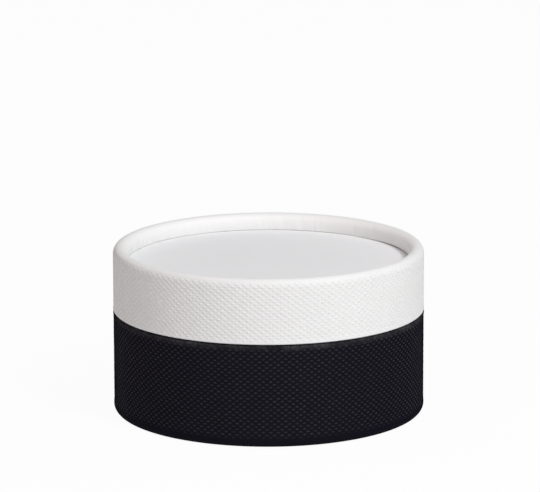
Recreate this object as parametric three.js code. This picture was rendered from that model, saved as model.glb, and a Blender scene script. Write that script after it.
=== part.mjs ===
// Round paperboard box with a lift-off lid.
// Two wrapped tubes of one diameter stand on each other. Each has one edge rolled inwards, with a disc seated
// against the roll: the lid's roll is at the top, the base's at the bottom. A neck is glued into the base and
// stands up inside the lid, so that the two meet flush. Sizes are in millimetres, +Z is up, and the origin is
// on the axis, at the surface that the box stands on.

import * as THREE from 'three';

// Driving sizes of the box
const OUTER_DIAMETER = 90;
const BASE_HEIGHT = 29.55;
const LID_HEIGHT = 18.55;
const SEAM_GAP = 0.3;

// Thickness of each board and paper
const TUBE_WALL = 1.2;
const NECK_WALL = 1;
const DISC_BOARD = 1.5;
const WRAP_PAPER = 0.25;
const LINING_PAPER = 0.2;
const GLUE_LINE = 0.1;

// Rolled and turned edges
const CURL_HOLLOW = 0.55; // radius of the empty core of a roll
const CURL_SIDE = 0.6; // straight part of a roll's inner side
const CURL_END_GAP = 0.25; // from the rolled-in end to the wall behind it
const FOOT_WIDTH = 1; // flat that the bottom roll stands on
const EDGE_ROUND = 0.25; // rounding of a cut board edge
const TURN_IN = 6; // wrap that is turned over an open edge

// Clearances
const SEAT_GAP = 0.1; // from a roll to the paper of the disc behind it
const DISC_FIT = 0.2; // round the edge of a disc
const NECK_FIT = 0.3; // from the neck to the turned-in wraps
const NECK_HEADROOM = 1; // from the neck's top to the lid's lining

// Facets of the round forms
const SEGMENTS = 48;
const CURL_STEPS = 3; // in each quarter of a roll
const CORE_STEPS = 1; // in each quarter of its empty core
const EDGE_STEPS = 2;

// Sizes that follow
const OUTER_RADIUS = OUTER_DIAMETER / 2;
const WRAP_LAYER = WRAP_PAPER + GLUE_LINE;
const LINING_LAYER = LINING_PAPER + GLUE_LINE;
const TUBE_OUTER = OUTER_RADIUS - WRAP_LAYER;
const TUBE_INNER = TUBE_OUTER - TUBE_WALL;
const HEM_INNER = TUBE_INNER - WRAP_LAYER;
const CURL_RADIUS = CURL_HOLLOW + TUBE_WALL + WRAP_LAYER;
const CURL_HEIGHT = 2 * CURL_RADIUS + CURL_SIDE;
const CURL_CENTRE = OUTER_RADIUS - CURL_RADIUS;
const CURL_SWEEP = 1.5 * Math.PI + Math.asin((CURL_HOLLOW - CURL_END_GAP) / CURL_RADIUS);
const DISC_RADIUS = TUBE_INNER - DISC_FIT;
const NECK_OUTER = HEM_INNER - NECK_FIT;
const NECK_INNER = NECK_OUTER - NECK_WALL - 2 * LINING_LAYER;

const PAPERS = {
  white: { color: 0xecebe8, roughness: 0.7, metalness: 0 },
  paleGrey: { color: 0xdedfe1, roughness: 0.75, metalness: 0 },
  black: { color: 0x16151c, roughness: 0.6, metalness: 0 },
  board: { color: 0xcfc8bb, roughness: 0.9, metalness: 0 },
};

// Points of an arc in the (radius, height) plane, with both ends.
function arc(centre, radius, from, to, steps) {
  return Array.from({ length: steps + 1 }, (_, step) => {
    const angle = from + ((to - from) * step) / steps;
    return new THREE.Vector2(centre.x + radius * Math.cos(angle), centre.y + radius * Math.sin(angle));
  });
}

// The two rounded corners of an open edge at height low, from the inner wall to the outer one.
function openEdge(inner, outer, low, corner, cut) {
  const radius = corner - cut;
  const innerCentre = new THREE.Vector2(inner + corner, low + corner);
  const outerCentre = new THREE.Vector2(outer - corner, low + corner);
  return [
    ...arc(innerCentre, radius, Math.PI, 1.5 * Math.PI, EDGE_STEPS),
    ...arc(outerCentre, radius, 1.5 * Math.PI, 2 * Math.PI, EDGE_STEPS),
  ];
}

// What a flat of the given width takes off a roll's crest.
function crestCut(flatWidth) {
  return CURL_RADIUS - Math.sqrt(CURL_RADIUS ** 2 - (flatWidth / 2) ** 2);
}

// Centre of a roll's upper half, for a roll with its crest at the given height and cut to the given flat.
function curlCentre(height, flatWidth) {
  return new THREE.Vector2(CURL_CENTRE, height + crestCut(flatWidth) - CURL_RADIUS);
}

// One face of a roll: from the wall over its crest, which can be cut flat, down its inner side and round to
// its end.
function rollFace(centre, radius, steps, flatWidth = 0) {
  const halfFlat = Math.asin(flatWidth / 2 / radius);
  const lowerCentre = new THREE.Vector2(centre.x, centre.y - CURL_SIDE);
  const rising = arc(centre, radius, 0, Math.PI / 2 - halfFlat, steps);
  const falling = arc(centre, radius, Math.PI / 2 + halfFlat, Math.PI, steps);
  const ending = arc(lowerCentre, radius, Math.PI, CURL_SWEEP, steps);
  return [...rising, ...falling.slice(flatWidth > 0 ? 0 : 1), ...ending];
}

// Section of a board tube: its open edge is low, and at the given height its wall rolls inwards and round.
function rolledTube(height, flatWidth) {
  const centre = curlCentre(height, flatWidth);
  return [
    ...openEdge(TUBE_INNER, TUBE_OUTER, WRAP_LAYER, EDGE_ROUND, 0),
    ...rollFace(centre, CURL_RADIUS - WRAP_LAYER, CURL_STEPS),
    ...rollFace(centre, CURL_HOLLOW, CORE_STEPS).reverse(),
  ];
}

// Section of the paper on such a tube: it follows the roll, and is turned in over the open edge as a hem.
function rolledWrap(height, flatWidth) {
  const centre = curlCentre(height, flatWidth);
  const corner = EDGE_ROUND + WRAP_LAYER;
  const hemTop = WRAP_LAYER + TURN_IN;
  return [
    new THREE.Vector2(HEM_INNER, hemTop),
    ...openEdge(HEM_INNER, OUTER_RADIUS, 0, corner, 0),
    ...rollFace(centre, CURL_RADIUS, CURL_STEPS, flatWidth),
    ...rollFace(centre, CURL_RADIUS - WRAP_PAPER, CURL_STEPS).reverse(),
    ...openEdge(HEM_INNER, OUTER_RADIUS, 0, corner, WRAP_PAPER).reverse(),
    new THREE.Vector2(HEM_INNER + WRAP_PAPER, hemTop),
  ];
}

// Section of the neck's board, with its cut edge up.
function neckBoard(low, high) {
  const outer = NECK_OUTER - LINING_LAYER;
  const inner = NECK_INNER + LINING_LAYER;
  const top = openEdge(inner, outer, 0, EDGE_ROUND, 0);
  return [
    new THREE.Vector2(inner, low),
    new THREE.Vector2(outer, low),
    ...upturned(top, high - LINING_LAYER),
  ];
}

// Section of the paper that covers the neck inside and out, over its top edge.
function neckCover(low, high) {
  const corner = EDGE_ROUND + LINING_LAYER;
  const outside = openEdge(NECK_INNER, NECK_OUTER, 0, corner, 0);
  const inside = openEdge(NECK_INNER, NECK_OUTER, 0, corner, LINING_PAPER);
  return [
    new THREE.Vector2(NECK_OUTER, low),
    ...upturned(outside, high),
    new THREE.Vector2(NECK_INNER, low),
    new THREE.Vector2(NECK_INNER + LINING_PAPER, low),
    ...upturned(inside, high).reverse(),
    new THREE.Vector2(NECK_OUTER - LINING_PAPER, low),
  ];
}

// A section turned upside down, so that its height 0 comes to the given height.
function upturned(section, height) {
  return section.map((point) => new THREE.Vector2(point.x, height - point.y)).reverse();
}

// Section of a flat disc, from the axis to its edge and back.
function disc(radius, low, thickness) {
  return [
    new THREE.Vector2(0, low),
    new THREE.Vector2(radius, low),
    new THREE.Vector2(radius, low + thickness),
    new THREE.Vector2(0, low + thickness),
  ];
}

// One named piece, made by turning a section round the axis.
function turned(name, section, paper) {
  const onAxis = section[0].x === 0;
  const outline = onAxis ? section : [...section, section[0].clone()];
  const geometry = new THREE.LatheGeometry(outline, SEGMENTS);
  geometry.rotateX(Math.PI / 2);
  const piece = new THREE.Mesh(geometry, new THREE.MeshStandardMaterial(paper));
  piece.name = name;
  return piece;
}

// The lid, from its open edge at height 0 up to its rolled rim.
function makeLid() {
  const topPaper = LID_HEIGHT - CURL_HEIGHT - SEAT_GAP - LINING_PAPER;
  const topBoard = topPaper - GLUE_LINE - DISC_BOARD;
  const lid = new THREE.Group();
  lid.add(
    turned('lid_tube', rolledTube(LID_HEIGHT, 0), PAPERS.board),
    turned('lid_wrap', rolledWrap(LID_HEIGHT, 0), PAPERS.white),
    turned('lid_top_paper', disc(DISC_RADIUS, topPaper, LINING_PAPER), PAPERS.paleGrey),
    turned('lid_disc', disc(DISC_RADIUS, topBoard, DISC_BOARD), PAPERS.board),
    turned('lid_lining_paper', disc(DISC_RADIUS, topBoard - LINING_LAYER, LINING_PAPER), PAPERS.white),
  );
  return { lid, ceiling: topBoard - LINING_LAYER };
}

// The base, from its rolled foot at height 0 up, with the neck that reaches the given height.
function makeBase(neckTop) {
  const tube = upturned(rolledTube(BASE_HEIGHT, FOOT_WIDTH), BASE_HEIGHT);
  const wrap = upturned(rolledWrap(BASE_HEIGHT, FOOT_WIDTH), BASE_HEIGHT);
  const undersidePaper = CURL_HEIGHT - crestCut(FOOT_WIDTH) + SEAT_GAP;
  const board = undersidePaper + LINING_LAYER;
  const floor = board + DISC_BOARD + GLUE_LINE;
  const base = new THREE.Group();
  base.add(
    turned('base_tube', tube, PAPERS.board),
    turned('base_wrap', wrap, PAPERS.black),
    turned('base_underside_paper', disc(DISC_RADIUS, undersidePaper, LINING_PAPER), PAPERS.black),
    turned('base_disc', disc(DISC_RADIUS, board, DISC_BOARD), PAPERS.board),
    turned('neck_tube', neckBoard(floor, neckTop), PAPERS.board),
    turned('neck_paper', neckCover(floor, neckTop), PAPERS.white),
    turned('floor_paper', disc(NECK_INNER - DISC_FIT, floor, LINING_PAPER), PAPERS.white),
  );
  return base;
}

const { lid, ceiling } = makeLid();
lid.position.z = BASE_HEIGHT + SEAM_GAP;
const roundBox = new THREE.Group();
roundBox.add(makeBase(lid.position.z + ceiling - NECK_HEADROOM), lid);

export default roundBox;
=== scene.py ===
"""A round paperboard box with a lift-off lid, dressed for a plain studio picture.

Lid and base are board tubes of one diameter, wrapped in embossed paper. One edge of each is rolled inwards,
the lid's at the top and the base's at the foot, and holds a disc. A neck inside the base centres the lid.
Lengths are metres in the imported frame: +Z is up, and the box stands on z = 0 with its axis on Z.
"""

import logging
import math
import random
from collections.abc import Callable
from dataclasses import dataclass, field
from enum import Enum

import bpy
from mathutils import Matrix, Vector, noise


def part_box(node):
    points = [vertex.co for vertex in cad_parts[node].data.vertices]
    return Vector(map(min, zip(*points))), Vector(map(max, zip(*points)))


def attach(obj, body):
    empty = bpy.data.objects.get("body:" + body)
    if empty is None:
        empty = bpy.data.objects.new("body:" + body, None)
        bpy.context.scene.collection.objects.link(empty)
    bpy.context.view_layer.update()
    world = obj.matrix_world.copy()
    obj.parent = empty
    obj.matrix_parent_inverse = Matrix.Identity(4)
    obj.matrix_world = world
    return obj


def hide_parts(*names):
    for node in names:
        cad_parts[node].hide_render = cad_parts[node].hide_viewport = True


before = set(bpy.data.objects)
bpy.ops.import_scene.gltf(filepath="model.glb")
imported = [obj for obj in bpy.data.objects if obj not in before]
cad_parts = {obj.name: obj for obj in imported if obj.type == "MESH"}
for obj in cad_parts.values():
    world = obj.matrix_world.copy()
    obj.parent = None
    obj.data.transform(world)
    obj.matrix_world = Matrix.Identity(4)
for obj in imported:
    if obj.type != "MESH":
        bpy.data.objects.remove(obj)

LOG = logging.getLogger("round_box")
MM = 0.001
WELD = 0.001 * MM
ON_FACE = 0.01 * MM
PIP_CHANGE = MM / 0.6
QUARTER = math.pi / 2.0
SMOOTH_ANGLE = math.radians(40.0)

Point = tuple[float, float]
Colour = tuple[float, float, float, float]
Piece = bpy.types.Object
Socket = bpy.types.NodeSocket
Share = Callable[[Vector], float]
Grain = dict[str, Socket]


class Body(Enum):
    """The bodies that move against each other."""

    LID = "lid"
    BASE = "base"


class Mark(Enum):
    """Values that a paper keeps at its vertices for its finish."""

    EMBOSSED = "embossed"
    RISES = "rises"
    # The band along an edge that a finish tints: on the wraps a painted highlight, with wear on the base's,
    # and on the sheets their margin.
    EDGE = "edge"
    # Share of the painted light on the roll's inner side.
    ROLLED = "rolled"


class RollSide(Enum):
    """Which way the rolled edge of a tube points."""

    UP = 1
    DOWN = -1


class PressWay(Enum):
    """Which way a piece is pressed."""

    INWARDS = "NORMAL"
    DOWNWARDS = "Z"


class SocketKind(Enum):
    """What a socket of a node group carries."""

    NUMBER = "NodeSocketFloat"
    VECTOR = "NodeSocketVector"
    COLOUR = "NodeSocketColor"


def ease(low: float, high: float, value: float) -> float:
    """Rise smoothly from 0 at low to 1 at high."""
    share = min(1.0, max(0.0, (value - low) / (high - low)))
    return share * share * (3.0 - 2.0 * share)


def radius_of(co: Vector) -> float:
    """Distance of a point from the box's axis."""
    return math.hypot(co.x, co.y)


class SectionPen:
    """Draws the section of a turned piece in edit mode, edge by edge, and turns it round the axis.

    The pen works in (radius, height) and keeps the last vertex selected. Height 0 lies at the datum.
    """

    def __init__(self, name: str, datum: float = 0.0, side: RollSide = RollSide.UP) -> None:
        """Start a mesh as one vertex on the axis.

        Args:
            name: Name of the new piece.
            datum: Height in the frame of the section's height 0.
            side: Whether the section's heights run up or down from there.
        """
        bpy.ops.object.select_all(action="DESELECT")
        bpy.ops.mesh.primitive_plane_add(size=MM)
        self.piece = bpy.context.object
        self.piece.name = name
        self.piece.data.name = name
        self.datum = datum
        self.sense = side.value
        self.tip: Point = (0.0, 0.0)
        bpy.ops.object.mode_set(mode="EDIT")
        bpy.ops.mesh.merge(type="CENTER")
        bpy.ops.transform.translate(value=(0.0, 0.0, datum))

    def start(self, point: Point) -> None:
        """Carry the first vertex to where the outline starts."""
        bpy.ops.transform.translate(value=(point[0], 0.0, self.sense * point[1]))
        self.tip = point

    def line(self, point: Point, steps: int = 1) -> None:
        """Extrude the tip in a straight line.

        Args:
            point: Where the line ends.
            steps: Number of edges on the way.
        """
        across = (point[0] - self.tip[0]) / steps
        up = self.sense * (point[1] - self.tip[1]) / steps
        for _ in range(steps):
            bpy.ops.mesh.extrude_vertices_move(TRANSFORM_OT_translate={"value": (across, 0.0, up)})
        self.tip = point

    def arc(self, centre: Point, sweep: float, steps: int) -> None:
        """Spin the tip about a point of the section.

        Args:
            centre: Centre of the arc.
            sweep: Angle of the arc, positive from the radius towards the height.
            steps: Number of edges on the arc.
        """
        bpy.ops.mesh.spin(
            steps=steps,
            angle=abs(sweep),
            center=(centre[0], 0.0, self.datum + self.sense * centre[1]),
            axis=(0.0, self.sense * math.copysign(1.0, sweep), 0.0),
        )
        across = self.tip[0] - centre[0]
        up = self.tip[1] - centre[1]
        self.tip = (
            centre[0] + across * math.cos(sweep) - up * math.sin(sweep),
            centre[1] + across * math.sin(sweep) + up * math.cos(sweep),
        )

    def round_edge(self, first: Point, second: Point, sweep: float, steps: int) -> None:
        """Draw the two rounded corners of an edge, and the flat between them.

        Args:
            first: Centre of the first corner.
            second: Centre of the second corner.
            sweep: Angle of each corner.
            steps: Number of edges on each corner.
        """
        self.arc(first, sweep, steps)
        self.line((second[0] + self.tip[0] - first[0], second[1] + self.tip[1] - first[1]))
        self.arc(second, sweep, steps)

    def weld(self) -> None:
        """Join the vertices that lie on each other."""
        bpy.ops.mesh.select_all(action="SELECT")
        bpy.ops.mesh.remove_doubles(threshold=WELD)

    def turn(self, columns: int) -> Piece:
        """Turn the finished outline once round the axis.

        Args:
            columns: Number of faces round the piece.

        Returns:
            The closed piece, with its faces pointing outwards.
        """
        self.weld()
        bpy.ops.object.mode_set(mode="OBJECT")
        lathe = self.piece.modifiers.new("lathe", "SCREW")
        lathe.axis = "Z"
        lathe.angle = math.tau
        lathe.steps = columns
        lathe.render_steps = columns
        lathe.use_merge_vertices = True
        lathe.merge_threshold = WELD
        bpy.ops.object.modifier_apply(modifier=lathe.name)
        bpy.ops.object.mode_set(mode="EDIT")
        self.weld()
        bpy.ops.mesh.normals_make_consistent(inside=False)
        bpy.ops.object.mode_set(mode="OBJECT")
        return self.piece


def press(piece: Piece, name: str, depth: float, share: Share, way: PressWay = PressWay.INWARDS) -> None:
    """Press a piece in along its normals, or down.

    Args:
        piece: The active piece.
        name: Name of the modifier that does it.
        depth: How deep a share of 1 goes.
        share: Gives the share of the depth at a vertex, from 0 to 1.
        way: Which way it goes.
    """
    group = piece.vertex_groups.new(name=name)
    for vertex in piece.data.vertices:
        weight = share(vertex.co)
        if weight > 0.0:
            group.add([vertex.index], weight, "REPLACE")
    displace = piece.modifiers.new(name, "DISPLACE")
    displace.vertex_group = group.name
    displace.direction = way.value
    displace.mid_level = 0.0
    displace.strength = -depth
    bpy.ops.object.modifier_apply(modifier=displace.name)
    piece.vertex_groups.clear()


def cockle(piece: Piece, height: float, spread: float) -> None:
    """Lift and lower a flat sheet a little, as glued paper lies.

    Args:
        piece: The active piece.
        height: Greatest rise between low and high places.
        spread: Usual distance between them.
    """
    clouds = bpy.data.textures.new(piece.name + "_cockle", "CLOUDS")
    clouds.noise_scale = spread
    clouds.noise_depth = 1
    displace = piece.modifiers.new("cockle", "DISPLACE")
    displace.texture = clouds
    displace.texture_coords = "LOCAL"
    displace.direction = "Z"
    displace.strength = height
    displace.mid_level = 0.5
    bpy.ops.object.modifier_apply(modifier=displace.name)


def keep(piece: Piece, place: Mark, share: Share) -> None:
    """Keep a value at each vertex for a material to read.

    Args:
        piece: The piece that keeps it.
        place: Which value it is.
        share: Gives the value at a vertex.
    """
    layer = piece.data.attributes.new(place.value, "FLOAT", "POINT")
    layer.data.foreach_set("value", [share(vertex.co) for vertex in piece.data.vertices])


def hand_over(piece: Piece, body: Body, node: str, material: bpy.types.Material) -> None:
    """Smooth and dress a finished piece, and tie it to the frame.

    Args:
        piece: The active piece.
        body: Body that it moves with.
        node: CAD node that it stands for.
        material: Its finish.
    """
    bpy.ops.object.shade_smooth_by_angle(angle=SMOOTH_ANGLE)
    piece.data.materials.clear()
    piece.data.materials.append(material)
    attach(piece, body.value)
    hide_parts(node)
    LOG.info("%s: %d faces, moves with the %s", piece.name, len(piece.data.polygons), body.value)


@dataclass(frozen=True)
class Stock:
    """Board and paper as they come, and the edges that they are rolled and turned to."""

    tube_wall: float = 1.2 * MM
    wrap_paper: float = 0.25 * MM
    lining_paper: float = 0.2 * MM
    glue: float = 0.1 * MM
    roll_hollow: float = 0.55 * MM
    roll_side: float = 0.6 * MM
    roll_fold: float = 0.3 * MM
    roll_end_gap: float = 0.25 * MM
    edge_round: float = 0.25 * MM
    turn_in: float = 6.0 * MM

    @property
    def wrap_layer(self) -> float:
        """The wrap and the film of glue under it."""
        return self.wrap_paper + self.glue

    @property
    def lining_layer(self) -> float:
        """The lining and the film of glue under it."""
        return self.lining_paper + self.glue

    @property
    def roll(self) -> float:
        """Radius of a rolled edge, over the paper."""
        return self.roll_hollow + self.tube_wall + self.wrap_layer

    @property
    def roll_overlap(self) -> float:
        """How far a rolled edge runs on past its lowest point."""
        return self.roll_hollow - self.roll_end_gap


@dataclass(frozen=True)
class Emboss:
    """Pips that stay raised where a roller presses the paper down around them, in staggered rows."""

    pips_round: int = 133
    rise: float = 1.62 * MM
    depth: float = 0.17 * MM
    relief: float = 0.9
    sharpness: float = 2.6
    unevenness: float = 0.3
    columns_per_pip: int = 6
    rows_per_rise: int = 4
    edge_fade: float = 0.6 * MM
    roll_fade: float = 1.2 * MM
    roll_reach: float = 2.0 * MM
    seed: int = 7

    @property
    def columns(self) -> int:
        """Number of faces round a wrap."""
        return self.pips_round * self.columns_per_pip

    def ground(self, across: float, up: float) -> float:
        """How far the paper is pressed down at a point of the pattern.

        Args:
            across: Place round the wrap, in pips.
            up: Place up the wrap, in rises.

        Returns:
            Share of the depth, 1 on the ground between pips.
        """
        row_wave = math.cos(math.tau * up)
        wave = math.cos(math.tau * across) * row_wave
        pip = abs(row_wave) * (0.5 + 0.5 * wave) ** self.sharpness
        row = round(2.0 * up)
        half = row % 2
        column = 2 * round((2.0 * across - half) / 2.0) + half
        chance = noise.cell(Vector((column % (2 * self.pips_round) + 0.5, row + 0.5, self.seed + 0.5)))
        return 1.0 - self.relief * pip * (1.0 - self.unevenness * abs(chance))


@dataclass(frozen=True)
class Creases:
    """Fine creases where paper is drawn together round a tighter circle."""

    count: int
    seed: int
    narrow: float = 0.1 * MM
    wide: float = 0.35 * MM
    weakest: float = 0.15
    reach: float = 3.0

    def by_column(self, columns: int, radius: float) -> list[float]:
        """Depth of the creases round a circle.

        Args:
            columns: Number of places round it.
            radius: Its radius.

        Returns:
            Share of the greatest depth at each place.
        """
        chance = random.Random(self.seed)
        depths = [0.0] * columns
        pitch = math.tau * radius / columns
        for _ in range(self.count):
            middle = chance.uniform(0.0, columns)
            width = chance.uniform(self.narrow, self.wide)
            strength = chance.uniform(self.weakest, 1.0) ** 2
            beside = math.ceil(self.reach * width / pitch)
            for column in range(math.floor(middle) - beside, math.ceil(middle) + beside + 1):
                share = strength * math.exp(-(((column - middle) * pitch / width) ** 2))
                depths[column % columns] = max(depths[column % columns], share)
        return depths


class Wiring:
    """Adds and joins the nodes of one node tree."""

    def __init__(self, tree: bpy.types.NodeTree) -> None:
        """Take over a tree and empty it."""
        self.tree = tree
        tree.nodes.clear()

    def add(
        self,
        kind: str,
        values: dict[str | int, object] | None = None,
        **settings: object,
    ) -> bpy.types.Node:
        """Add a node.

        Args:
            kind: Type name of the node.
            values: Value, or output socket to join, for each of its inputs.
            **settings: Properties of the node itself.

        Returns:
            The new node.
        """
        node = self.tree.nodes.new(kind)
        for name, setting in settings.items():
            setattr(node, name, setting)
        for name, value in (values or {}).items():
            if isinstance(value, Socket):
                self.tree.links.new(value, node.inputs[name])
            else:
                node.inputs[name].default_value = value
        return node

    def blend(self, share: Socket, first: object, second: object) -> Socket:
        """Mix two colours.

        Args:
            share: Share of the second colour.
            first: Colour, or socket, at share 0.
            second: Colour, or socket, at share 1.

        Returns:
            The mixed colour.
        """
        colour_a, colour_b, colour_out = 6, 7, 2
        mix = self.add("ShaderNodeMix", {0: share, colour_a: first, colour_b: second}, data_type="RGBA")
        return mix.outputs[colour_out]

    def attribute(self, place: Mark) -> Socket:
        """Read one of the values that a piece keeps at its vertices."""
        return self.add("ShaderNodeAttribute", attribute_name=place.value).outputs["Fac"]

    def reckon(self, operation: str, *values: object) -> Socket:
        """Do one sum with sockets or numbers.

        Args:
            operation: Name of the sum.
            *values: What it takes.

        Returns:
            The result.
        """
        return self.add("ShaderNodeMath", dict(enumerate(values)), operation=operation).outputs[0]

    def span(self, value: Socket, low: float, high: float) -> Socket:
        """Map a value from 0 to 1 onto low to high."""
        return self.add("ShaderNodeMapRange", {"Value": value, "To Min": low, "To Max": high}).outputs[0]

    def combine(self, operation: str, *values: object) -> bpy.types.Node:
        """Do one sum with vectors.

        Args:
            operation: Name of the sum.
            *values: What it takes.

        Returns:
            The node that does it.
        """
        return self.add("ShaderNodeVectorMath", dict(enumerate(values)), operation=operation)


def new_group(
    name: str,
    inputs: dict[str, SocketKind],
    outputs: dict[str, SocketKind],
) -> bpy.types.NodeTree:
    """Make an empty shader node group with named sockets.

    Args:
        name: Name of the group.
        inputs: What each input carries.
        outputs: What each output carries.

    Returns:
        The new group.
    """
    group = bpy.data.node_groups.new(name, "ShaderNodeTree")
    for in_out, sockets in (("INPUT", inputs), ("OUTPUT", outputs)):
        for socket, kind in sockets.items():
            group.interface.new_socket(socket, in_out=in_out, socket_type=kind.value)
    return group


def fibre_group() -> bpy.types.NodeTree:
    """Cloudy pulp and fine fibres of a paper or board, built once and shared.

    Returns:
        The group, with Cloud and Fibre from 0 to 1.
    """
    name = "paper_fibre"
    if name in bpy.data.node_groups:
        return bpy.data.node_groups[name]
    number = SocketKind.NUMBER
    group = new_group(
        name,
        {"Vector": SocketKind.VECTOR, "Cloud Scale": number, "Fibre Scale": number},
        {"Cloud": number, "Fibre": number},
    )
    wiring = Wiring(group)
    given = wiring.add("NodeGroupInput").outputs
    cloud = wiring.add(
        "ShaderNodeTexNoise",
        {"Vector": given["Vector"], "Scale": given["Cloud Scale"], "Detail": 4.0, "Roughness": 0.6},
    )
    thinnest, thickest = 0.3, 0.7
    spread = wiring.add(
        "ShaderNodeMapRange",
        {"Value": cloud.outputs[0], "From Min": thinnest, "From Max": thickest},
    )
    fibre = wiring.add(
        "ShaderNodeTexNoise",
        {"Vector": given["Vector"], "Scale": given["Fibre Scale"], "Detail": 5.0, "Distortion": 1.5},
    )
    wiring.add("NodeGroupOutput", {"Cloud": spread.outputs[0], "Fibre": fibre.outputs[0]})
    return group


def wear_and_light_group() -> bpy.types.NodeTree:
    """A second colour mixed in where a mask says, broken up by the pulp, built once and shared: painted
    highlight and shade on the pips, painted highlight with wear on the edge bands, and a sheet's margin
    tint.

    Returns:
        The group, which puts out the mixed colour.
    """
    name = "hand_rub"
    if name in bpy.data.node_groups:
        return bpy.data.node_groups[name]
    number, colour = SocketKind.NUMBER, SocketKind.COLOUR
    group = new_group(
        name,
        {"Color": colour, "Rub Color": colour, "Where": number, "Break Up": number, "Amount": number},
        {"Color": colour},
    )
    wiring = Wiring(group)
    given = wiring.add("NodeGroupInput").outputs
    sunk, proud, least = 0.4, 0.6, 0.25
    patches = wiring.add(
        "ShaderNodeMapRange",
        {"Value": given["Break Up"], "From Min": sunk, "From Max": proud, "To Min": least},
    )
    patchy = wiring.reckon("MULTIPLY", given["Where"], patches.outputs[0])
    share = wiring.reckon("MULTIPLY", patchy, given["Amount"])
    mix_wear_and_light = wiring.blend(share, given["Color"], given["Rub Color"])
    wiring.add("NodeGroupOutput", {"Color": mix_wear_and_light})
    return group


def lattice_group() -> bpy.types.NodeTree:
    """Pips of an embossed paper, in staggered rows round the box, built once and shared.

    Returns:
        The group, with Height from 0 between the pips to 1 on them.
    """
    name = "emboss_lattice"
    if name in bpy.data.node_groups:
        return bpy.data.node_groups[name]
    number = SocketKind.NUMBER
    group = new_group(
        name,
        {
            "Vector": SocketKind.VECTOR,
            "Rises": number,
            "Pips Round": number,
            "Sharpness": number,
            "Unevenness": number,
        },
        {"Height": number},
    )
    wiring = Wiring(group)
    given = wiring.add("NodeGroupInput").outputs
    place = wiring.add("ShaderNodeSeparateXYZ", {0: given["Vector"]}).outputs
    turned = wiring.reckon("ARCTAN2", place[1], place[0])
    across = wiring.reckon("COSINE", wiring.reckon("MULTIPLY", turned, given["Pips Round"]))
    up = wiring.reckon("COSINE", wiring.reckon("MULTIPLY", given["Rises"], math.tau))
    wave = wiring.reckon("MULTIPLY_ADD", wiring.reckon("MULTIPLY", across, up), 0.5, 0.5)
    dot = wiring.reckon("POWER", wave, given["Sharpness"])
    pip = wiring.reckon("MULTIPLY", dot, wiring.reckon("ABSOLUTE", up))
    plain = {"Vector": given["Vector"], "Scale": 1.0 / PIP_CHANGE, "Detail": 0.0}
    chance = wiring.add("ShaderNodeTexNoise", plain)
    dip = wiring.reckon("MULTIPLY", chance.outputs[0], given["Unevenness"])
    level = wiring.reckon("SUBTRACT", 1.0, dip)
    wiring.add("NodeGroupOutput", {"Height": wiring.reckon("MULTIPLY", pip, level)})
    return group


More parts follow.
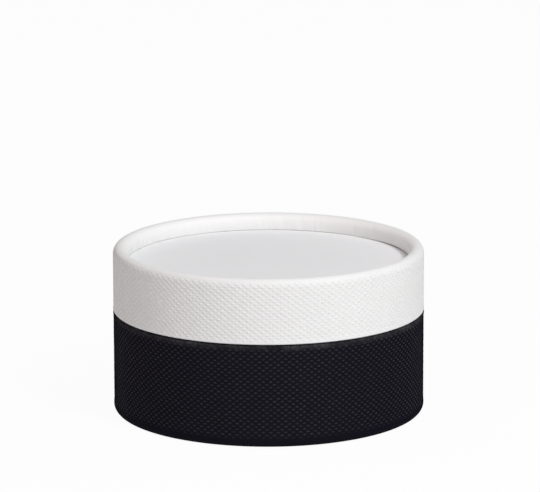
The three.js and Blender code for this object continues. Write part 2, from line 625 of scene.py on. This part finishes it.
@dataclass(frozen=True)
class PaperFinish:
    """A plain paper or board: its pulp's colours, its gloss and its fibres."""

    name: str
    colour: Colour
    cloud_colour: Colour
    roughness: float
    gloss: float
    cloud_size: float = 6.0 * MM
    fibre_size: float = 0.35 * MM
    fibre_depth: float = 0.004 * MM
    roughness_spread: float = 0.08
    sheen_end: float = 1.0
    # Tint along the marked edge band: painted highlight on the wraps' edges, with wear on the base's top
    # edge, and a lighter, warmer margin on a disc's sheet.
    edge_tint_colour: Colour = (1.0, 1.0, 1.0, 1.0)
    edge_tint: float = 0.0
    edge_tint_least: float = 0.7

    def material(self) -> bpy.types.Material:
        """Build the finish.

        Returns:
            The material.
        """
        material = bpy.data.materials.new(self.name)
        material.use_nodes = True
        wiring = Wiring(material.node_tree)
        grain = self.grain(wiring)
        shader = wiring.add(
            "ShaderNodeBsdfPrincipled",
            {
                "Base Color": self.colouring(wiring, grain),
                "Roughness": self.roughening(wiring, grain),
                "Specular IOR Level": self.sheen(wiring),
                "Normal": self.relief(wiring, grain),
            },
        )
        wiring.add("ShaderNodeOutputMaterial", {"Surface": shader.outputs[0]})
        return material

    def roughening(self, wiring: Wiring, grain: Grain) -> Socket:
        """Vary the roughness with the pulp."""
        low = self.roughness - self.roughness_spread / 2.0
        return wiring.span(grain["Cloud"], low, low + self.roughness_spread)

    def sheen(self, wiring: Wiring) -> Socket:
        """Let the gloss run out towards a grazing view, where rough paper hides its own face."""
        facing = wiring.add("ShaderNodeLayerWeight", {"Blend": 0.5}).outputs["Facing"]
        level = {"Value": facing, "From Max": self.sheen_end, "To Min": self.gloss, "To Max": 0.0}
        return wiring.add("ShaderNodeMapRange", level).outputs[0]

    def grain(self, wiring: Wiring) -> Grain:
        """Place the shared fibre group with this paper's sizes, and give its outputs by name."""
        place = wiring.add("ShaderNodeTexCoord").outputs["Object"]
        fibre = wiring.add(
            "ShaderNodeGroup",
            node_tree=fibre_group(),
            values={
                "Vector": place,
                "Cloud Scale": 1.0 / self.cloud_size,
                "Fibre Scale": 1.0 / self.fibre_size,
            },
        )
        return {"Place": place, "Cloud": fibre.outputs["Cloud"], "Fibre": fibre.outputs["Fibre"]}

    def relief(self, wiring: Wiring, grain: Grain) -> Socket:
        """Raise the fibres, and give the normal."""
        bump = wiring.add("ShaderNodeBump", {"Height": grain["Fibre"], "Distance": self.fibre_depth})
        return bump.outputs[0]

    def colouring(self, wiring: Wiring, grain: Grain) -> Socket:
        """Mix the pulp's two colours, and tint them along the edge band that the piece marks: painted
        highlight on the wraps' edges, with wear on the base's, and a lighter, warmer margin on a disc's
        sheet.
        """
        pulp = wiring.blend(grain["Cloud"], self.colour, self.cloud_colour)
        if self.edge_tint == 0.0:
            return pulp
        patches = wiring.span(grain["Cloud"], self.edge_tint_least, 1.0)
        where = wiring.reckon("MULTIPLY", wiring.attribute(Mark.EDGE), patches)
        return self.mix_wear_and_light(wiring, pulp, self.edge_tint_colour, where, grain, self.edge_tint)

    def mix_wear_and_light(
        self,
        wiring: Wiring,
        colour: Socket,
        wear_and_light_colour: Colour,
        where: Socket,
        grain: Grain,
        amount: float,
    ) -> Socket:
        """Place the shared group that mixes in wear and painted light.

        Args:
            wiring: The material's nodes.
            colour: Colour of the paper as it was.
            wear_and_light_colour: Colour mixed in, for wear, for painted light or for a tint.
            where: Mask of the places where it is mixed in.
            grain: The paper's grain, whose fibres break the rub up.
            amount: Greatest share of the mixed-in colour.

        Returns:
            The mixed colour.
        """
        values = {"Color": colour, "Rub Color": wear_and_light_colour, "Where": where, "Amount": amount}
        wear_and_light_node = wiring.add(
            "ShaderNodeGroup",
            node_tree=wear_and_light_group(),
            values=values | {"Break Up": grain["Fibre"]},
        )
        return wear_and_light_node.outputs[0]


@dataclass(frozen=True)
class EmbossedFinish(PaperFinish):
    """An embossed paper, burnished on its pips, with painted highlight on the pips and painted shade
    between them.

    It reads from the piece's attributes how fully the paper is embossed, the place in rises of the pattern,
    and where light is painted on the roll's inner side.
    """

    emboss: Emboss = Emboss()
    pip_depth: float = 0.1 * MM
    # Pips painted lighter than the ground: painted highlight on the pips and painted shade between them.
    pip_painted_light_colour: Colour = (1.0, 1.0, 1.0, 1.0)
    pip_painted_light: float = 0.0
    pip_roughness: float = 0.5
    # Painted light on the roll's inner side, lighter than the paper elsewhere.
    roll_painted_light_colour: Colour | None = None

    def grain(self, wiring: Wiring) -> Grain:
        """Add the pips of the pattern to the paper's grain."""
        grain = super().grain(wiring)
        lattice = wiring.add(
            "ShaderNodeGroup",
            node_tree=lattice_group(),
            values={
                "Vector": grain["Place"],
                "Rises": wiring.attribute(Mark.RISES),
                "Pips Round": self.emboss.pips_round,
                "Sharpness": self.emboss.sharpness,
                "Unevenness": self.emboss.unevenness,
            },
        )
        pip = wiring.reckon("MULTIPLY", lattice.outputs["Height"], wiring.attribute(Mark.EMBOSSED))
        return grain | {"Pip": pip}

    def relief(self, wiring: Wiring, grain: Grain) -> Socket:
        """Sharpen the pips on top of the fibres."""
        bump = wiring.add(
            "ShaderNodeBump",
            {"Height": grain["Pip"], "Distance": self.pip_depth, "Normal": super().relief(wiring, grain)},
        )
        return bump.outputs[0]

    def roughening(self, wiring: Wiring, grain: Grain) -> Socket:
        """Burnish the pips."""
        ground, pip = 2, 3
        values = {0: grain["Pip"], ground: super().roughening(wiring, grain), pip: self.pip_roughness}
        return wiring.add("ShaderNodeMix", values).outputs[0]

    def colouring(self, wiring: Wiring, grain: Grain) -> Socket:
        """Paint light on the roll's inner side, and paint the pips lighter than the ground: painted
        highlight on the pips and painted shade between them.
        """
        colour = super().colouring(wiring, grain)
        if self.roll_painted_light_colour is not None:
            colour = wiring.blend(wiring.attribute(Mark.ROLLED), colour, self.roll_painted_light_colour)
        return self.mix_wear_and_light(wiring, colour, self.pip_painted_light_colour, grain["Pip"], grain, self.pip_painted_light)


@dataclass
class EmbossedWrap:
    """Embossed paper round one tube, turned in at the open edge and rolled in with the tube at the other.

    Heights in its section run from the open edge, 0, to the crest of the roll.
    """

    name: str
    node: str
    body: Body
    side: RollSide
    foot_width: float = 0.0
    edge_round: float = 0.25 * MM
    stock: Stock = Stock()
    emboss: Emboss = Emboss()
    roll_creases: Creases = Creases(count=260, seed=11)
    hem_creases: Creases = Creases(count=120, seed=23)
    crease_depth: float = 0.12 * MM
    crease_start: float = math.radians(80.0)
    crease_full: float = math.radians(160.0)
    # Light is painted on the roll's inner side between these angles round the roll.
    roll_light_start: float = math.radians(85.0)
    roll_light_full: float = math.radians(165.0)
    edge_tint_reach: float = 0.9 * MM
    fold_lift: float = 0.0
    fold_reach: float = 1.6 * MM
    loose_start: float = 0.7
    loose_full: float = 0.97
    # The painted light on the roll's inner side fades out between these heights above its foot.
    roll_light_full_above: float = 2.6 * MM
    roll_light_none_above: float = 0.5 * MM
    lap_width: float = 9.0 * MM
    lap_lift: float = 0.4
    lap_groove: float = 1.5
    roll_steps: int = 8
    fold_steps: int = 4
    hidden_steps: int = 4
    edge_steps: int = 3
    hem_steps: int = 3

    def __post_init__(self) -> None:
        """Take the wrap's place from the frame, and what follows from it."""
        low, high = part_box(self.node)
        self.radius = high.x
        self.height = high.z - low.z
        self.datum = low.z if self.side is RollSide.UP else high.z
        self.corner = self.edge_round + self.stock.wrap_layer
        self.hem_radius = self.radius - self.stock.tube_wall - 2.0 * self.stock.wrap_layer
        self.hem_top = self.stock.wrap_layer + self.stock.turn_in
        drop = math.sqrt(self.stock.roll**2 - (self.foot_width / 2.0) ** 2)
        self.roll_centre: Point = (self.radius - self.stock.roll, self.height - drop)
        self.roll_foot = self.roll_centre[1] - self.stock.roll_side - self.stock.roll
        self.wall = self.roll_centre[1] - self.corner
        self.rows = round(self.wall * self.emboss.rows_per_rise / self.emboss.rise)
        columns = self.emboss.columns
        self.roll_crease_at = self.roll_creases.by_column(columns, self.roll_centre[0])
        self.hem_crease_at = self.hem_creases.by_column(columns, self.hem_radius)

    def build(self) -> Piece:
        """Draw the paper's section, turn it, emboss it and crease it.

        Returns:
            The wrap.
        """
        pen = SectionPen(self.name, self.datum, self.side)
        pen.start((self.hem_radius, self.hem_top))
        self.draw_turned_edge(pen)
        pen.line(self.roll_start(0.0), self.rows)
        self.draw_roll(pen)
        self.draw_back(pen)
        piece = pen.turn(self.emboss.columns)
        keep(piece, Mark.EMBOSSED, self.embossed_at)
        keep(piece, Mark.RISES, self.rises_at)
        keep(piece, Mark.EDGE, self.turned_edge)
        keep(piece, Mark.ROLLED, self.roll_painted_light_at)
        press(piece, "emboss", self.emboss.depth, self.pressed)
        press(piece, "creases", self.crease_depth, self.creased)
        if self.fold_lift > 0.0:
            press(piece, "loose_fold", -self.fold_lift, self.loosened, PressWay.DOWNWARDS)
        return piece

    def roll_start(self, inset: float) -> Point:
        """Where a face of the roll leaves the wall, at a distance under the outer face."""
        return (self.radius - inset, self.roll_centre[1])

    def draw_turned_edge(self, pen: SectionPen) -> None:
        """Draw the hem's inner face and the rounded open edge, as far as the wall's outer face."""
        inner = (self.hem_radius + self.corner, self.corner)
        outer = (self.radius - self.corner, self.corner)
        pen.line((self.hem_radius, self.corner), self.hem_steps)
        pen.round_edge(inner, outer, QUARTER, self.edge_steps)

    def draw_roll(self, pen: SectionPen) -> None:
        """Draw the roll's outer face, with any flat on its crest, and the paper's cut end."""
        across, up = self.roll_centre
        quarter = QUARTER - math.asin(self.foot_width / 2.0 / self.stock.roll)
        fold = self.stock.roll_fold
        side = across - self.stock.roll
        end = across + self.stock.roll_overlap
        pen.arc((across, up), quarter, self.roll_steps)
        if self.foot_width > 0.0:
            pen.line((across - self.foot_width / 2.0, self.height))
        pen.arc((across, up), quarter, self.roll_steps)
        pen.line((side, self.roll_foot + fold))
        pen.arc((side + fold, self.roll_foot + fold), QUARTER, self.fold_steps)
        pen.line((end, self.roll_foot))
        pen.line((end, self.roll_foot + self.stock.wrap_paper))

    def draw_back(self, pen: SectionPen) -> None:
        """Draw the face on the board, from the roll's end back to the start."""
        paper = self.stock.wrap_paper
        fold = self.stock.roll_fold
        inner = (self.hem_radius + self.corner, self.corner)
        outer = (self.radius - self.corner, self.corner)
        across, up = self.roll_centre
        side = across - self.stock.roll
        pen.line((side + fold, self.roll_foot + paper))
        pen.arc((side + fold, self.roll_foot + fold), -QUARTER, self.fold_steps)
        pen.line((side + paper, up))
        pen.arc((across, up), -math.pi, self.hidden_steps)
        pen.line((self.radius - paper, self.corner))
        pen.round_edge(outer, inner, -QUARTER, self.edge_steps)
        pen.line((self.hem_radius + paper, self.hem_top))
        pen.line((self.hem_radius, self.hem_top))

    def height_of(self, co: Vector) -> float:
        """Height of a vertex above the open edge, towards the roll."""
        return self.side.value * (co.z - self.datum)

    def column_of(self, co: Vector) -> int:
        """Number of the column of faces that a vertex is on."""
        return round(math.atan2(co.y, co.x) / math.tau * self.emboss.columns) % self.emboss.columns

    def from_roll(self, co: Vector) -> Point:
        """Place of a vertex from the roll's centre, outwards and up, but never lower than level."""
        up = self.height_of(co) - self.roll_centre[1]
        return (radius_of(co) - self.roll_centre[0], max(0.0, up))

    def on_face(self, co: Vector) -> bool:
        """Whether a vertex is on the outer face of the wall, the roll or its inner side."""
        return abs(math.hypot(*self.from_roll(co)) - self.stock.roll) < ON_FACE

    def turned_at(self, co: Vector) -> float:
        """Angle of a vertex round the roll, from 0 on the wall to a half turn on the inner side."""
        across, up = self.from_roll(co)
        return math.atan2(up, across)

    def face_place(self, co: Vector) -> float:
        """Distance of a vertex up the outer face, from the turned edge and on over the roll.

        Args:
            co: Place of the vertex, before it is pressed.

        Returns:
            The distance, or less than 0 for a vertex that isn't on that face.
        """
        if radius_of(co) < self.roll_centre[0] or not self.on_face(co):
            return -1.0
        below = min(0.0, self.height_of(co) - self.roll_centre[1])
        return self.wall + below + self.stock.roll * self.turned_at(co)

    def embossed_at(self, co: Vector) -> float:
        """How fully the pattern shows at a vertex: it runs out at the edge and on the roll."""
        place = self.face_place(co)
        end = self.wall + self.emboss.roll_reach
        return ease(0.0, self.emboss.edge_fade, place) * ease(end, end - self.emboss.roll_fade, place)

    def rises_at(self, co: Vector) -> float:
        """Place of a vertex up the outer face, in rises of the pattern."""
        return self.face_place(co) / self.wall * self.rows / self.emboss.rows_per_rise

    def ground_at(self, co: Vector) -> float:
        """Share of the emboss depth that the roller alone gives at a vertex of the outer face."""
        across = math.atan2(co.y, co.x) / math.tau * self.emboss.pips_round
        return self.emboss.ground(across, self.rises_at(co))

    def lap_at(self, co: Vector) -> float:
        """Distance past the edge where the paper laps over itself, at the back of the box."""
        return self.radius * math.remainder(math.atan2(co.y, co.x) - QUARTER, math.tau)

    def pressed(self, co: Vector) -> float:
        """Share of the emboss depth at a vertex.

        Args:
            co: Place of the vertex.

        Returns:
            0 on the smooth bands, 1 on the ground between pips. The lap lies higher than the rest.
        """
        if not 0.0 <= self.face_place(co) <= self.wall + self.emboss.roll_reach:
            return 0.0
        share = self.embossed_at(co) * self.ground_at(co)
        lap = self.lap_at(co)
        pitch = math.tau * self.radius / self.emboss.columns
        if 0.0 <= lap < self.lap_width:
            share -= self.lap_lift * ease(self.lap_width, 0.0, lap)
        elif -self.lap_groove * pitch < lap < 0.0:
            share += self.lap_lift
        return min(1.0, max(0.0, share))

    def turned_edge(self, co: Vector) -> float:
        """How near a vertex is to the fold of the open edge, from 0 to 1."""
        if radius_of(co) < self.radius - 2.0 * self.corner:
            return 0.0
        return ease(self.edge_tint_reach, self.corner / 2.0, self.height_of(co))

    def roll_painted_light_at(self, co: Vector) -> float:
        """Share of the painted light on the roll's inner side at a vertex, which fades out towards its
        glued foot.
        """
        above = self.height_of(co) - self.roll_foot
        inside = ease(self.roll_light_start, self.roll_light_full, self.turned_at(co))
        return inside * ease(self.roll_light_none_above, self.roll_light_full_above, above)

    def loosened(self, co: Vector) -> float:
        """Share of the lift at the foot of the roll, which stands off its disc at the right."""
        across = radius_of(co)
        above = self.height_of(co) - self.roll_foot
        if above < -ON_FACE or across > self.roll_centre[0] + self.stock.roll_hollow:
            return 0.0
        return ease(self.fold_reach, 0.0, above) * ease(self.loose_start, self.loose_full, co.x / across)

    def creased(self, co: Vector) -> float:
        """Share of the crease depth at a vertex of the roll's inner side or of the hem."""
        height = self.height_of(co)
        if height > self.roll_foot and self.on_face(co):
            drawn = ease(self.crease_start, self.crease_full, self.turned_at(co))
            return drawn * self.roll_crease_at[self.column_of(co)]
        if abs(radius_of(co) - self.hem_radius) < ON_FACE:
            return ease(self.corner, self.hem_top, height) * self.hem_crease_at[self.column_of(co)]
        return 0.0


@dataclass
class RoundSheet:
    """A round sheet of paper glued to a disc, with a cut edge."""

    name: str
    node: str
    body: Body
    rings: int = 48
    columns: int = 192
    edge_steps: int = 4
    rise: float = 0.03 * MM
    spread: float = 14.0 * MM
    margin_start: float = 39.9 * MM
    margin_end: float = 40.9 * MM
    margin_swell: float = 0.09 * MM
    margin_evenness: float = 0.6
    margin_lump: float = 3.0 * MM

    def margin_at(self, co: Vector) -> float:
        """How far a vertex lies into the margin that the roll's glue wets, from 0 to 1."""
        return ease(self.margin_start, self.margin_end, radius_of(co))

    def swollen(self, co: Vector) -> float:
        """Share of the margin's swell at a vertex, which comes and goes round the sheet."""
        lumps = 0.5 + 0.5 * noise.noise(co / self.margin_lump)
        return self.margin_at(co) * (self.margin_evenness + (1.0 - self.margin_evenness) * lumps)

    def build(self) -> Piece:
        """Draw the sheet's section, turn it, swell its margin and let it cockle.

        Returns:
            The sheet.
        """
        low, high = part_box(self.node)
        thick = high.z - low.z
        edge = high.x - thick / 2.0
        pen = SectionPen(self.name, low.z)
        pen.line((edge, 0.0), self.rings)
        pen.arc((edge, thick / 2.0), math.pi, self.edge_steps)
        pen.line((0.0, thick), self.rings)
        piece = pen.turn(self.columns)
        keep(piece, Mark.EDGE, self.margin_at)
        press(piece, "margin", -self.margin_swell, self.swollen)
        cockle(piece, self.rise, self.spread)
        return piece


@dataclass
class RolledTube:
    """A board tube with one edge rolled inwards and round, under its paper."""

    name: str
    node: str
    body: Body
    side: RollSide
    stock: Stock = Stock()
    columns: int = 240
    roll_steps: int = 12
    edge_steps: int = 3
    wall_steps: int = 8

    def build(self) -> Piece:
        """Draw the board's section and turn it.

        Returns:
            The tube.
        """
        low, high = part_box(self.node)
        height = high.z - low.z
        outer = high.x
        inner = outer - self.stock.tube_wall
        corner = self.stock.edge_round
        roll = self.stock.roll - self.stock.wrap_layer
        across = outer - roll
        up = height - roll
        lower = up - self.stock.roll_side
        end = 1.5 * math.pi + math.asin(self.stock.roll_overlap / self.stock.roll)
        hollow = self.stock.roll_hollow
        pen = SectionPen(self.name, low.z if self.side is RollSide.UP else high.z, self.side)
        pen.start((inner, up))
        pen.line((inner, corner), self.wall_steps)
        pen.round_edge((inner + corner, corner), (outer - corner, corner), QUARTER, self.edge_steps)
        pen.line((outer, up), self.wall_steps)
        pen.arc((across, up), math.pi, self.roll_steps)
        pen.line((across - roll, lower))
        pen.arc((across, lower), end - math.pi, self.roll_steps)
        pen.line((across + hollow * math.cos(end), lower + hollow * math.sin(end)))
        pen.arc((across, lower), math.pi - end, self.roll_steps)
        pen.line((across - hollow, up))
        pen.arc((across, up), -math.pi, self.roll_steps)
        return pen.turn(self.columns)


@dataclass
class NeckSleeve:
    """The paper that covers the neck inside and out, over its top edge."""

    name: str
    node: str
    body: Body
    stock: Stock = Stock()
    board: float = 1.0 * MM
    columns: int = 320
    edge_steps: int = 4
    wall_steps: int = 24

    def build(self) -> Piece:
        """Draw the sleeve's section and turn it.

        Returns:
            The sleeve.
        """
        low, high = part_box(self.node)
        top = high.z - low.z
        outer = high.x
        inner = outer - self.board - 2.0 * self.stock.lining_layer
        corner = self.stock.edge_round + self.stock.lining_layer
        paper = self.stock.lining_paper
        outer_centre = (outer - corner, top - corner)
        inner_centre = (inner + corner, top - corner)
        pen = SectionPen(self.name, low.z)
        pen.start((outer, 0.0))
        pen.line((outer, top - corner), self.wall_steps)
        pen.round_edge(outer_centre, inner_centre, QUARTER, self.edge_steps)
        pen.line((inner, 0.0), self.wall_steps)
        pen.line((inner + paper, 0.0))
        pen.line((inner + paper, top - corner))
        pen.round_edge(inner_centre, outer_centre, -QUARTER, self.edge_steps)
        pen.line((outer - paper, 0.0))
        pen.line((outer, 0.0))
        return pen.turn(self.columns)


@dataclass
class Finishes:
    """The finishes of the box, each built once."""

    white_wrap: PaperFinish = EmbossedFinish(
        name="white_embossed_paper",
        colour=(0.856, 0.860, 0.858, 1.0),
        cloud_colour=(0.836, 0.840, 0.838, 1.0),
        roughness=0.55,
        gloss=0.15,
        # Cool white on the lid's lower edge: painted highlight where its rounding catches the light.
        edge_tint_colour=(0.86, 0.90, 0.94, 1.0),
        edge_tint=1.0,
        pip_depth=0.13 * MM,
        # Lighter pips on a darker ground: painted highlight on the pips and painted shade between them.
        pip_painted_light_colour=(0.94, 0.945, 0.945, 1.0),
        pip_painted_light=1.0,
        # Painted light on the roll's inner side, lighter than the paper elsewhere.
        roll_painted_light_colour=(0.948, 0.942, 0.936, 1.0),
    )
    black_wrap: PaperFinish = EmbossedFinish(
        name="black_embossed_paper",
        colour=(0.0012, 0.0007, 0.0052, 1.0),
        cloud_colour=(0.0020, 0.0015, 0.0060, 1.0),
        roughness=0.85,
        gloss=0.17,
        sheen_end=0.9,
        fibre_size=0.8 * MM,
        # Lighter grey on the base's top edge: wear, with a painted highlight where its rounding catches the
        # light.
        edge_tint_colour=(0.075, 0.073, 0.075, 1.0),
        edge_tint=0.9,
        edge_tint_least=0.0,
        pip_depth=0.15 * MM,
        # Lighter grey pips: painted highlight, in place of the lamp's glints on them.
        pip_painted_light_colour=(0.037, 0.036, 0.044, 1.0),
        pip_painted_light=1.0,
        pip_roughness=0.26,
    )
    pale_grey_paper: PaperFinish = PaperFinish(
        name="pale_grey_paper",
        colour=(0.845, 0.856, 0.872, 1.0),
        cloud_colour=(0.861, 0.870, 0.882, 1.0),
        roughness=0.6,
        gloss=0.3,
        # A lighter, warmer margin next to the roll.
        edge_tint_colour=(0.88, 0.87, 0.83, 1.0),
        edge_tint=0.9,
    )
    black_paper: PaperFinish = PaperFinish(
        name="black_paper",
        colour=(0.008, 0.0075, 0.010, 1.0),
        cloud_colour=(0.011, 0.0105, 0.013, 1.0),
        roughness=0.6,
        gloss=0.2,
    )
    white_lining: PaperFinish = PaperFinish(
        name="white_lining_paper",
        colour=(0.80, 0.79, 0.765, 1.0),
        cloud_colour=(0.83, 0.82, 0.80, 1.0),
        roughness=0.65,
        gloss=0.25,
    )
    board: PaperFinish = PaperFinish(
        name="grey_tube_board",
        colour=(0.46, 0.42, 0.355, 1.0),
        cloud_colour=(0.56, 0.52, 0.45, 1.0),
        roughness=0.85,
        gloss=0.15,
        cloud_size=2.0 * MM,
        fibre_size=0.6 * MM,
        fibre_depth=0.02 * MM,
    )

    def __post_init__(self) -> None:
        """Build the materials by slot."""
        self.materials: dict[str, bpy.types.Material] = {
            slot: getattr(self, slot).material() for slot in self.__dataclass_fields__
        }


@dataclass
class Lid:
    """The lid: wrapped and rolled tube, with a disc seated under the roll."""

    finishes: Finishes
    wrap: EmbossedWrap = field(
        default_factory=lambda: EmbossedWrap(
            "lid_embossed_wrap",
            "lid_wrap",
            Body.LID,
            RollSide.UP,
            edge_round=0.02 * MM,
            fold_lift=0.32 * MM,
        )
    )
    top: RoundSheet = field(default_factory=lambda: RoundSheet("lid_top_sheet", "lid_top_paper", Body.LID))
    lining: RoundSheet = field(
        default_factory=lambda: RoundSheet("lid_lining_sheet", "lid_lining_paper", Body.LID)
    )
    tube: RolledTube = field(
        default_factory=lambda: RolledTube("lid_rolled_tube", "lid_tube", Body.LID, RollSide.UP)
    )

    def build(self) -> None:
        """Build and dress the lid's pieces."""
        for maker, slot in (
            (self.wrap, "white_wrap"),
            (self.top, "pale_grey_paper"),
            (self.lining, "white_lining"),
            (self.tube, "board"),
        ):
            hand_over(maker.build(), maker.body, maker.node, self.finishes.materials[slot])


@dataclass
class Base:
    """The base: wrapped and rolled tube, with a disc seated on the roll and a neck glued inside."""

    finishes: Finishes
    wrap: EmbossedWrap = field(
        default_factory=lambda: EmbossedWrap(
            "base_embossed_wrap",
            "base_wrap",
            Body.BASE,
            RollSide.DOWN,
            foot_width=1.0 * MM,
            edge_tint_reach=2.0 * MM,
            emboss=Emboss(seed=19, edge_fade=0.25 * MM, roll_fade=1.5 * MM, roll_reach=-0.2 * MM),
            roll_creases=Creases(count=260, seed=31),
            hem_creases=Creases(count=120, seed=43),
        )
    )
    underside: RoundSheet = field(
        default_factory=lambda: RoundSheet("base_underside_sheet", "base_underside_paper", Body.BASE)
    )
    neck: NeckSleeve = field(default_factory=lambda: NeckSleeve("neck_sleeve", "neck_paper", Body.BASE))
    floor: RoundSheet = field(default_factory=lambda: RoundSheet("floor_sheet", "floor_paper", Body.BASE))

    def build(self) -> None:
        """Build and dress the base's pieces."""
        for maker, slot in (
            (self.wrap, "black_wrap"),
            (self.underside, "black_paper"),
            (self.neck, "white_lining"),
            (self.floor, "white_lining"),
        ):
            hand_over(maker.build(), maker.body, maker.node, self.finishes.materials[slot])


def dress_hidden_boards(finishes: Finishes) -> None:
    """Give the boards that stay as CAD nodes their finish."""
    for node in ("base_tube", "base_disc", "lid_disc", "neck_tube"):
        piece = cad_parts[node]
        piece.data.materials.clear()
        piece.data.materials.append(finishes.materials["board"])
        LOG.info("%s: kept as packed", node)


@dataclass(frozen=True)
class Glow:
    """Soft light from one side of the surround, which fades away from that side."""

    towards: tuple[float, float, float]
    colour: tuple[float, float, float]


@dataclass
class Studio:
    """A pale floor, one soft lamp at the front right, a glowing surround and the camera."""

    camera_place: Vector = field(default_factory=lambda: Vector((0.00046, -1.170, 0.3155)))
    camera_pitch: float = math.radians(12.879)
    camera_roll: float = math.radians(-0.155)
    camera_lens: float = 277.15
    key_azimuth: float = math.radians(37.5)
    key_elevation: float = math.radians(46.0)
    key_distance: float = 1.0
    key_width: float = 0.22
    key_power: float = 5.1
    top_glow: Glow = Glow((0.0, 0.0, 1.0), (0.575, 0.575, 0.575))
    front_glow: Glow = Glow((0.0, -1.0, 0.0), (0.33, 0.33, 0.33))
    left_glow: Glow = Glow((-1.0, 0.0, 0.0), (0.1, 0.01, 0.01))
    floor_radius: float = 4.0
    floor_sides: int = 96
    floor_drop: float = 0.01 * MM
    floor_colour: Colour = (0.86, 0.86, 0.86, 1.0)
    floor_lift: float = 0.95

    def build(self) -> None:
        """Set up the studio."""
        bpy.context.scene.view_settings.view_transform = "Standard"
        self.place_camera()
        self.hang_key()
        self.light_surround()
        self.lay_floor()

    def place_camera(self) -> None:
        """Place the camera at the photograph's viewing angle."""
        tilt = Matrix.Rotation(QUARTER - self.camera_pitch, 3, "X")
        roll = Matrix.Rotation(self.camera_roll, 3, "Z")
        bpy.ops.object.camera_add(location=self.camera_place, rotation=(tilt @ roll).to_euler())
        camera = bpy.context.object
        camera.data.lens = self.camera_lens
        bpy.context.scene.camera = camera

    def hang_key(self) -> None:
        """Hang the soft lamp and aim it at the box."""
        towards = Vector(
            (
                math.sin(self.key_azimuth) * math.cos(self.key_elevation),
                -math.cos(self.key_azimuth) * math.cos(self.key_elevation),
                math.sin(self.key_elevation),
            )
        )
        bpy.ops.object.light_add(
            type="AREA",
            location=towards * self.key_distance,
            rotation=towards.to_track_quat("Z", "Y").to_euler(),
        )
        key = bpy.context.object.data
        key.shape = "SQUARE"
        key.size = self.key_width
        key.energy = self.key_power

    def light_surround(self) -> None:
        """Light the surround from the top and the front, and a little from the left, where it is warm."""
        world = bpy.data.worlds.new("studio_surround")
        world.use_nodes = True
        bpy.context.scene.world = world
        wiring = Wiring(world.node_tree)
        direction = wiring.add("ShaderNodeTexCoord").outputs["Generated"]
        colour: object = (0.0, 0.0, 0.0)
        for glow in (self.top_glow, self.front_glow, self.left_glow):
            facing = wiring.combine("DOT_PRODUCT", direction, glow.towards).outputs["Value"]
            fading = wiring.reckon("MAXIMUM", facing, 0.0)
            light = wiring.add("ShaderNodeVectorMath", {0: glow.colour, "Scale": fading}, operation="SCALE")
            colour = wiring.combine("ADD", colour, light.outputs[0]).outputs[0]
        background = wiring.add("ShaderNodeBackground", {"Color": colour, "Strength": 1.0})
        wiring.add("ShaderNodeOutputWorld", {"Surface": background.outputs[0]})

    def lay_floor(self) -> None:
        """Lay the floor, which is lifted towards white where it is seen and keeps the box's shadow."""
        bpy.ops.mesh.primitive_circle_add(
            vertices=self.floor_sides,
            radius=self.floor_radius,
            fill_type="NGON",
            location=(0.0, 0.0, -self.floor_drop),
        )
        floor = bpy.context.object
        floor.name = "studio_floor"
        material = bpy.data.materials.new("studio_floor")
        material.use_nodes = True
        wiring = Wiring(material.node_tree)
        ray = wiring.add("ShaderNodeLightPath").outputs
        mirrored = wiring.reckon("MAXIMUM", ray["Is Glossy Ray"], ray["Is Transmission Ray"])
        seen = wiring.reckon("MAXIMUM", ray["Is Camera Ray"], mirrored)
        lift = wiring.reckon("MULTIPLY", seen, self.floor_lift)
        matt = wiring.add("ShaderNodeBsdfDiffuse", {"Color": self.floor_colour}).outputs[0]
        white = wiring.add("ShaderNodeEmission", {"Strength": 1.0}).outputs[0]
        mix = wiring.add("ShaderNodeMixShader", {0: lift, 1: matt, 2: white})
        wiring.add("ShaderNodeOutputMaterial", {"Surface": mix.outputs[0]})
        floor.data.materials.append(material)


def main() -> None:
    """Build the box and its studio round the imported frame."""
    logging.basicConfig(level=logging.INFO, format="%(name)s: %(message)s")
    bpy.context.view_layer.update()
    finishes = Finishes()
    Lid(finishes).build()
    Base(finishes).build()
    dress_hidden_boards(finishes)
    Studio().build()


if __name__ == "__main__":
    main()
